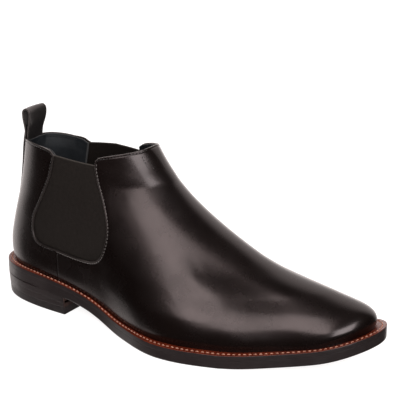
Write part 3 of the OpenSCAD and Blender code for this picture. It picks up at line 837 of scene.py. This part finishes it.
THREAD_D = 0.12  # depth of a stitch's line under the leather's face
COLLAR_STITCH_IN = 1.7
FRONT_R, REAR_R, FINE_R, STRAP_R, WELT_R = 0.29, 0.25, 0.22, 0.24, 0.42
PITCH, FINE_PITCH, WELT_PITCH = 2.5, 2.3, 3.6
for side, name in SIDE_NAMES:
    t = np.linspace(0, 1, 400)
    # the front rows take the lighter copy of the thread: painted highlight
    rows = [on_skin(place(edge(mix(SIDE_K - 0.15, 0.25, t), STITCH_IN), side), THREAD_D)]
    piece = stitches(f"gore_stitches_front_{name}", rows, FRONT_R, PITCH, UPPER_THREAD)
    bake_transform(piece)
    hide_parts(f"gore_stitching_{name}")
    # the rear rows take the darker copy of the thread: painted shade
    rows = [on_skin(place(edge(mix(SIDE_K + 0.15, REAR_K - 0.1, t), STITCH_IN), side), THREAD_D)]
    piece = stitches(f"gore_stitches_back_{name}", rows, REAR_R, PITCH, DARK_THREAD, BOOT)

rows = collar_rows(COLLAR_FRONT, (0.0, 0.9), (0.0, 0.8))
for degrees in (21, 27):
    tack = np.stack([np.full(60, math.radians(degrees)), np.linspace(122, 112.5, 60)], -1)
    rows.append(on_skin(tack, 0.0))
piece = stitches("collar_stitches_front", rows, FINE_R, FINE_PITCH, DARK_THREAD)
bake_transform(piece)
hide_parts("shaft_stitching")

rows = collar_rows(COLLAR_BACK, (0.32, 0.93), (0.3, 0.9))
piece = stitches("collar_stitches_back", rows, FINE_R, FINE_PITCH, DARK_THREAD, BOOT)
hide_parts("quarter_stitching")

seam = np.stack([np.full(100, SIDE_X + 1.3), np.linspace(0.6, 27.5, 100)], -1)
rows = [on_skin(place(seam, side), 0.05) for side in SIDES]
piece = stitches("side_seam_stitches", rows, FINE_R, FINE_PITCH, DARK_THREAD, BOOT)
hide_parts("side_seam_stitching")

# ---- pull strap ----

STRAP_LOW, STRAP_HIGH, TAIL_LOW, STRAP_END = 61.5, 113.3, 101.5, 9.0  # levels of its ends; width at the foot
LOOP_R, NECK_GAP, PINCH = 3.6, 0.25, 0.84  # outer radius of the loop, half gap at its neck, narrowing there
LEG_STEPS = 60
COLLAR_TOP = skin(math.pi, COLLAR_BACK[0][1])
FOLD = COLLAR_TOP + np.array([(LINING_D + LINING_T) / 2, 0, 1.9 + 2.3])


def back_shift(y, h):
    """How far forward the back of the boot curves at a distance from its middle line."""
    q = skin(math.pi + np.arcsin(y / width_at(h, -1.0, False)), h)
    return q[..., 0] - skin(math.pi, h)[..., 0]


def strap_path():
    """Middle line of the strap: x, z, the level and how far it follows the boot's curve there, half width."""
    rows = []
    for h in np.linspace(STRAP_LOW, STRAP_HIGH, LEG_STEPS):
        p, n = skin(math.pi, h), outward(math.pi, h)
        q = p + n * (STRAP_T / 2 + 0.06)
        width = mix(STRAP_END, STRAP_W, ((h - STRAP_LOW) / (STRAP_HIGH - STRAP_LOW)) ** 1.5)
        rows.append((q[0], q[2], h, 1.0, width / 2))
    lean = np.array([math.sin(LOOP_LEAN), math.cos(LOOP_LEAN)])
    side = np.array([lean[1], -lean[0]])
    fold = np.array([FOLD[0], FOLD[2]])
    radius = LOOP_R - STRAP_T / 2
    centre = LOOP_H - LOOP_R
    neck = STRAP_T / 2 + NECK_GAP
    back = []
    for t in np.linspace(0.12, 0.93, 14):
        u = centre * t
        back.append((u, -mix(neck, radius, smooth(t * 1.15))))
    arc = [(centre + radius * math.sin(a), -radius * math.cos(a)) for a in np.linspace(0, math.pi, 25)]
    loop = back + arc + [(u, -o) for u, o in back[::-1]]
    for u, o in loop:
        q = fold + lean * u + side * o
        pinch = mix(PINCH, 0.97, smooth(u / centre))
        follow = max(0.3, 0.85 - u / centre * 0.55)
        rows.append((q[0], q[1], STRAP_HIGH + 2, follow, STRAP_W / 2 * pinch))
    for h in np.linspace(STRAP_HIGH - 1.5, TAIL_LOW, 24):
        p, n = skin(math.pi, h), outward(math.pi, h)
        q = p - n * (LEATHER_T + STRAP_T / 2 + 0.04)
        rows.append((q[0], q[2], h, 0.96, STRAP_W / 2 * PINCH))
    return np.array(rows)


path = strap_path()
step = along_line(path[:, :2])
s = np.unique(np.concatenate([np.linspace(0, step[-1], 190), NEAR[:9], step[-1] - NEAR[:9]]))
path = np.stack([np.interp(s, step, path[:, k]) for k in range(5)], -1)
for _ in range(6):
    path[1:-1, :2] = 0.5 * path[1:-1, :2] + 0.25 * (path[2:, :2] + path[:-2, :2])
tangent = unit(np.gradient(path[:, :2], axis=0))
face = np.stack([-tangent[:, 1], tangent[:, 0]], -1)
across = 2 * spread(STRAP_W, 15, start=True, end=True) - 1
y = path[:, 4:5] * across[None]
dx = back_shift(y, path[:, 2:3]) * path[:, 3:4]
middle_line = np.stack([path[:, 0:1] + dx, y, np.repeat(path[:, 1:2], len(across), 1)], -1)
normal = unit(np.cross(np.gradient(middle_line, axis=0), np.gradient(middle_line, axis=1)))
border = np.minimum((1 - np.abs(across))[None] * path[:, 4:5], np.minimum(s, s[-1] - s)[:, None])
half = STRAP_T / 2 - rounded(border, 0.4) - 0.10 * bell(border - STITCH_IN, 0.3)
pts, faces, wear_and_highlight = thicken(middle_line, normal, -half, half, 0.5 * bell(border, 0.5))
strap = make("pull_strap", pts, faces, STRAP, edge_wear_and_highlight=wear_and_highlight)
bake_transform(strap)
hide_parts("back_strap", "pull_tab", "strap_tail")

rows = []
sewn = s < step[LEG_STEPS - 1] - 3
leg, leg_face = path[sewn], face[sewn]
for side in (-1, 1):
    at = side * np.maximum(leg[:, 4] - STITCH_IN, 0.5)
    shift = back_shift(at, leg[:, 2]) * leg[:, 3]
    line = np.stack([leg[:, 0] + shift, at, leg[:, 1]], -1)
    out = np.stack([leg_face[:, 0], at * 0.02, leg_face[:, 1]], -1)
    out = unit(out * np.sign(-out[:, :1]))
    rows.append((line + out * (STRAP_T / 2 - 0.1), out))
piece = stitches("strap_stitches", rows, STRAP_R, PITCH, UPPER_THREAD, BOOT)
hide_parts("strap_stitching")

# ---- sole, welt and heel ----

RINGS = 420
ANGLES = (np.arange(RINGS) + 0.5) / RINGS * 2 * math.pi
RIM = rim_point(ANGLES)
FOOT = skin(ANGLES, np.zeros(RINGS))[:, :2]
GAP = np.linalg.norm(RIM - FOOT, axis=1)


def inset(pts, d):
    """A ring of points moved inward."""
    t = unit(np.roll(pts, -1, 0) - np.roll(pts, 1, 0))
    return pts + np.asarray(d)[..., None] * np.stack([t[:, 1], -t[:, 0]], -1)


def ring_at(d, z, square=False):
    """A ring at an inset from the rim, z above the outsole's underside.

    square fades a rounded edge out at the heel.
    """
    k = mix(0.06, 1.0, smooth((RIM[:, 0] + BREAST_X + 2) / 8)) if square else 1.0
    p = inset(RIM, np.broadcast_to(d * k, RINGS))
    return np.stack([p[:, 0], p[:, 1], under(p[:, 0]) + z * k], -1)


def lofted(rings, parts, cap_part=None, cap_rows=10, lift=None):
    """Loft of rings. parts gives a material to each band; one more part joins the last ring to the first.

    cap_part closes both ends, across from each point to its mirror point; lift gives a cap's height.
    """
    n = len(rings[0])
    points, faces, kinds = list(rings), [], []
    for r, part in enumerate(parts):
        a, b = r * n, ((r + 1) % len(rings)) * n
        for i in range(n):
            j = (i + 1) % n
            faces.append([a + i, a + j, b + j, b + i])
            kinds.append(part)
    total, half = len(rings) * n, n // 2
    for which in () if cap_part is None else (0, len(rings) - 1):
        ring, cols = rings[which], [np.arange(half) + which * n]
        for k in range(1, cap_rows):
            q = mix(ring[:half], ring[::-1][:half], k / cap_rows)
            if lift is not None:
                q = np.stack([q[:, 0], q[:, 1], lift(q[:, 0], which)], -1)
            cols.append(np.arange(half) + total)
            points.append(q)
            total += half
        cols.append(n - 1 - np.arange(half) + which * n)
        for low, high in zip(cols, cols[1:]):
            for i in range(half - 1):
                f = [low[i], low[i + 1], high[i + 1], high[i]]
                faces.append(f if which == 0 else f[::-1])
                kinds.append(cap_part)
    return np.concatenate(points), faces, kinds


def fix_normals(obj):
    """Turn every face outward."""
    bm = bmesh.new()
    bm.from_mesh(obj.data)
    bmesh.ops.recalc_face_normals(bm, faces=bm.faces)
    bm.to_mesh(obj.data)
    bm.free()
    obj.data.set_sharp_from_angle(angle=SHARP)
    return obj


WELT_UNDER = 4.5  # how far the welt runs in under the upper
STITCH_FROM_RIM = np.minimum(2.9, 0.5 * GAP)
z0, z1 = OUTSOLE_T + GLUE, OUTSOLE_T + GLUE + WELT_T
profile = [(0.12, z0), (0.03, z0 + 0.03), (0, z0 + 0.12), (0, z0 + 0.4), (0, z1 - 0.9), (0.03, z1 - 0.5),
           (0.13, z1 - 0.22), (0.32, z1 - 0.06), (0.6, z1)]
rings = [ring_at(d, z) for d, z in profile]
kinds = [1] * 6 + [0] * 2
for off, dip in ((-0.95, 0), (-0.6, 0.08), (-0.3, 0.22), (0, 0.28), (0.3, 0.22), (0.6, 0.08), (0.95, 0)):
    rings.append(ring_at(np.maximum(STITCH_FROM_RIM + off, 0.62 + 0.02 * off), z1 - dip))
    kinds.append(0)
rings += [ring_at(GAP * 0.82 + 0.5, z1), ring_at(GAP + WELT_UNDER, z1), ring_at(GAP + WELT_UNDER, z0)]
kinds += [0, 0, 0, 1]
points, faces, kinds = lofted(rings, kinds)
welt = fix_normals(make("welt_strip", points, faces, [WELT_TOP, SOLE_EDGE], BOOT, kinds))
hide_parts("welt")

line = ring_at(STITCH_FROM_RIM, z1 - 0.10)
line = np.concatenate([line, line[:1]])
upright = np.tile([0.0, 0.0, 1.0], (len(line), 1))
piece = stitches("welt_stitches", [(line, upright)], WELT_R, WELT_PITCH, WELT_THREAD, BOOT, fill=0.66)
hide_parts("welt_stitching")

profile = [(9, 0), (1.6, 0), (0.9, 0.07), (0.4, 0.3), (0.1, 0.75), (0, 1.3), (0, 1.7), (0, OUTSOLE_T - 0.5),
           (0, OUTSOLE_T - 0.12), (0.03, OUTSOLE_T - 0.03), (0.12, OUTSOLE_T), (9, OUTSOLE_T)]
rings = [ring_at(d, z, square=d < 5 and z < 2) for d, z in profile]
points, faces, kinds = lofted(
    rings, [1] * 2 + [0] * 9, cap_part=1, lift=lambda x, which: under(x) + (OUTSOLE_T if which else 0))
sole = fix_normals(make("outsole_leather", points, faces, [SOLE_EDGE, SOLE_UNDER], BOOT, kinds))
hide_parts("outsole")

HEEL_TAPER, HEEL_MID = 0.965, -115.0  # size of the heel at the ground, and the x that it tapers to
HEEL_CORNER, HEEL_STEPS = 0.9, 70


def heel_outline(d, z):
    """D-shaped ring of the heel at an inset, tapered with its height over the ground."""
    ring = inset(RIM, np.full(RINGS, d))
    k = mix(HEEL_TAPER, 1.0, np.clip(z / HEEL_HEIGHT, 0, 1))
    ring = np.stack([HEEL_MID + (ring[:, 0] - HEEL_MID) * k, ring[:, 1] * k], -1)
    front = -BREAST_X - d

    def cut(side_pts):
        """From the rounded breast corner to the back."""
        pts = side_pts[np.argsort(-side_pts[:, 0])]
        y = np.interp(-front, -pts[:, 0], pts[:, 1])
        pts = np.concatenate([[[front, y]], pts[pts[:, 0] < front - 0.01]])
        run = along_line(pts)
        at = np.concatenate([NEAR[:10], np.linspace(3, run[-1], HEEL_STEPS)])
        pts = at_run(run, pts, at).T
        pts[:, 1] *= 1 - rounded(front - pts[:, 0], HEEL_CORNER) / np.abs(pts[:, 1])
        return pts

    return np.concatenate([cut(ring[:RINGS // 2]), cut(ring[RINGS // 2:])[::-1]])


def heel_slab(name, low, high, material, node, bottom_r=0.06, follow=False):
    """One layer of the heel. follow shapes its top to the outsole."""
    levels = [(5, low), (bottom_r * 1.2, low), (bottom_r * 0.35, low + bottom_r * 0.3), (0, low + bottom_r),
              (0, low + bottom_r + 0.3), (0, high - 0.36), (0, high - 0.06), (0.02, high - 0.02),
              (0.06, high), (5, high)]
    rings = []
    for d, z in levels:
        ring = heel_outline(d, z)
        zs = np.full(len(ring), z)
        if follow:
            zs = np.minimum(zs, under(ring[:, 0]) - GLUE - (high - z))
        rings.append(np.column_stack([ring, zs]))
    kinds = [1] + [0] * 8
    points, faces, kinds = lofted(rings, kinds, cap_part=1, cap_rows=8)
    for k, f in enumerate(faces):
        if points[f].mean(0)[0] > -BREAST_X - 0.35:
            kinds[k] = 2
    obj = fix_normals(make(name, points, faces, material, BOOT, kinds))
    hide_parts(node)


MID_LIFT = (TOP_PIECE_T + HEEL_HEIGHT) / 2
LIFT_MATERIALS = [HEEL_EDGE, HEEL_EDGE, BREAST]
heel_slab("heel_top_rubber", 0, TOP_PIECE_T, [RUBBER] * 3, "heel_top_piece", bottom_r=0.8)
heel_slab("heel_lift_lower", TOP_PIECE_T + GLUE, MID_LIFT, LIFT_MATERIALS, "heel_lift_2")
heel_slab("heel_lift_upper", MID_LIFT + GLUE, HEEL_HEIGHT - GLUE, LIFT_MATERIALS, "heel_lift_1",
          follow=True)

# the sock liner: a thin soft sheet over the insole, turned up a little at its edge
SOCK_IN, SOCK_LOW, SOCK_HIGH = 5.8, 2.45, 3.62
rings = []
for d, z in ((6, SOCK_LOW), (0.4, SOCK_LOW), (0, 2.7), (0, 3.3), (0.5, 3.6), (8, SOCK_HIGH)):
    p = inset(FOOT, np.full(RINGS, SOCK_IN + d))
    rings.append(np.stack([p[:, 0], p[:, 1], under(p[:, 0]) + FEATHER + z], -1))
points, faces, kinds = lofted(rings, [0] * 5, cap_part=0,
                              lift=lambda x, which: under(x) + FEATHER + (SOCK_HIGH if which else SOCK_LOW))
sock = fix_normals(make("sock_sheet", points, faces, SOCK, BOOT))
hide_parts("sock_liner")

# ---- pieces carried over from the CAD part ----

CARRIED = {
    "cork_filler": plain("cork", (0.28, 0.15, 0.07), (0.50, 0.32, 0.18), 0.85, 400),
    "insole_board": plain("insole_leather", (0.35, 0.22, 0.12), (0.52, 0.36, 0.22), 0.7, 150),
    "shank": plain("shank_steel", (0.42, 0.42, 0.44), (0.60, 0.60, 0.62), 0.35, 200, metallic=1.0),
    "heel_nails": plain("nail_brass", (0.55, 0.38, 0.15), (0.72, 0.55, 0.28), 0.35, 300, metallic=1.0),
    "toe_puff": plain("stiffener", (0.38, 0.33, 0.26), (0.52, 0.47, 0.38), 0.85, 250),
}
CARRIED["heel_counter"] = CARRIED["toe_puff"]
for node, mat in CARRIED.items():
    data = frame["nodes"][node].data
    data.materials.clear()
    data.materials.append(mat)

# ---- floor, light and camera ----


LIT = Vector((0.02, 0, 0.06))  # the point that the softboxes face, in metres
SOFTBOX_REACH = 1.3
FLOOR_HALF, FLOOR_DROP = 8, 0.0002
FLOOR_GREY, FLOOR_GLOW = 0.62, 0.86
AMBIENT = 0.022
# azimuth, elevation, cosine of the bright middle's reach, cosine where it ends, strength
LOBES = [(-160, 28, 0.86, 0.45, 1.15), (-132, -22, 0.85, 0.62, 1.1), (0, 90, 0.6, 0.0, 0.06),
         (-66, -50, 0.975, 0.94, 0.8)]


def direction(azimuth, elevation):
    """Unit vector; azimuth 0 is the outer side, 90 the toe."""
    a, e = math.radians(azimuth), math.radians(elevation)
    return Vector((math.sin(a) * math.cos(e), -math.cos(a) * math.cos(e), math.sin(e)))


def light(name, azimuth, elevation, size, radiance, color, roll=0):
    """A softbox seen from the boot at an azimuth and an elevation."""
    way = direction(azimuth, elevation)
    data = bpy.data.lights.new(name, "AREA")
    data.shape = "RECTANGLE"
    data.size, data.size_y = size
    data.energy = radiance * math.pi * size[0] * size[1]
    data.color = color
    obj = add(name, data)
    obj.location = LIT + way * SOFTBOX_REACH
    obj.rotation_mode = "QUATERNION"
    obj.rotation_quaternion = way.to_track_quat("Z", "Y") @ Quaternion((0, 0, 1), math.radians(roll))


def floor():
    m = bpy.data.materials.new("floor_white")
    m.use_nodes = True
    b = m.node_tree.nodes["Principled BSDF"]
    b.inputs["Base Color"].default_value = (FLOOR_GREY, FLOOR_GREY, FLOOR_GREY, 1)
    b.inputs["Roughness"].default_value = 0.9
    b.inputs["Specular IOR Level"].default_value = 0.0
    b.inputs["Emission Color"].default_value = (1, 1, 1, 1)
    b.inputs["Emission Strength"].default_value = FLOOR_GLOW
    mesh = bpy.data.meshes.new("floor")
    corners = [(x * FLOOR_HALF, y * FLOOR_HALF, 0) for x, y in ((-1, -1), (1, -1), (1, 1), (-1, 1))]
    mesh.from_pydata(corners, [], [[0, 1, 2, 3]])
    mesh.materials.append(m)
    obj = add("floor", mesh)
    obj.location.z = -FLOOR_DROP
    obj.visible_glossy = False


def world():
    """A dim room with a few soft bright directions."""
    w = bpy.data.worlds.new("studio")
    w.use_nodes = True
    new, link = w.node_tree.nodes.new, w.node_tree.links.new
    w.node_tree.nodes.clear()
    out = new("ShaderNodeOutputWorld")
    bg = new("ShaderNodeBackground")
    coords = new("ShaderNodeTexCoord").outputs["Generated"]

    def lobe(azimuth, elevation, cos_in, cos_out, strength):
        dot = new("ShaderNodeVectorMath")
        dot.operation = "DOT_PRODUCT"
        link(coords, dot.inputs[0])
        dot.inputs[1].default_value = direction(azimuth, elevation)
        r = new("ShaderNodeMapRange")
        r.interpolation_type = "SMOOTHSTEP"
        link(dot.outputs["Value"], r.inputs["Value"])
        for k, v in (("From Min", cos_out), ("From Max", cos_in), ("To Min", 0.0), ("To Max", strength)):
            r.inputs[k].default_value = v
        return r.outputs[0]

    total = None
    for values in LOBES:
        plus = new("ShaderNodeMath")
        plus.operation = "ADD"
        link(lobe(*values), plus.inputs[1])
        if total is None:
            plus.inputs[0].default_value = AMBIENT
        else:
            link(total, plus.inputs[0])
        total = plus.outputs[0]
    bg.inputs["Color"].default_value = (1.0, 0.92, 0.90, 1)
    link(total, bg.inputs["Strength"])
    link(bg.outputs[0], out.inputs["Surface"])
    bpy.context.scene.world = w


floor()
world()
light("softbox_side", 0.5, 43.3, (0.42, 0.70), 4.4, (1.0, 0.90, 0.89), roll=22)
light("softbox_toe", 46, 24, (0.86, 0.72), 5.6, (1.0, 0.97, 0.98))

scene = bpy.context.scene
scene.view_settings.view_transform = "Standard"
CAM_AZ, CAM_EL, CAM_DIST = 31.969, 18.504, 1.0
CAM_AIM = Vector((0.01302, 0, 0.094426))
camera = add("camera", bpy.data.cameras.new("camera"))
camera.data.sensor_width = 36
camera.data.lens = 130.7
way = direction(CAM_AZ, CAM_EL)
camera.location = CAM_AIM + way * CAM_DIST
camera.rotation_mode = "QUATERNION"
camera.rotation_quaternion = (-way).to_track_quat("-Z", "Y")
camera.data.clip_start, camera.data.clip_end = 0.05, 50
scene.camera = camera
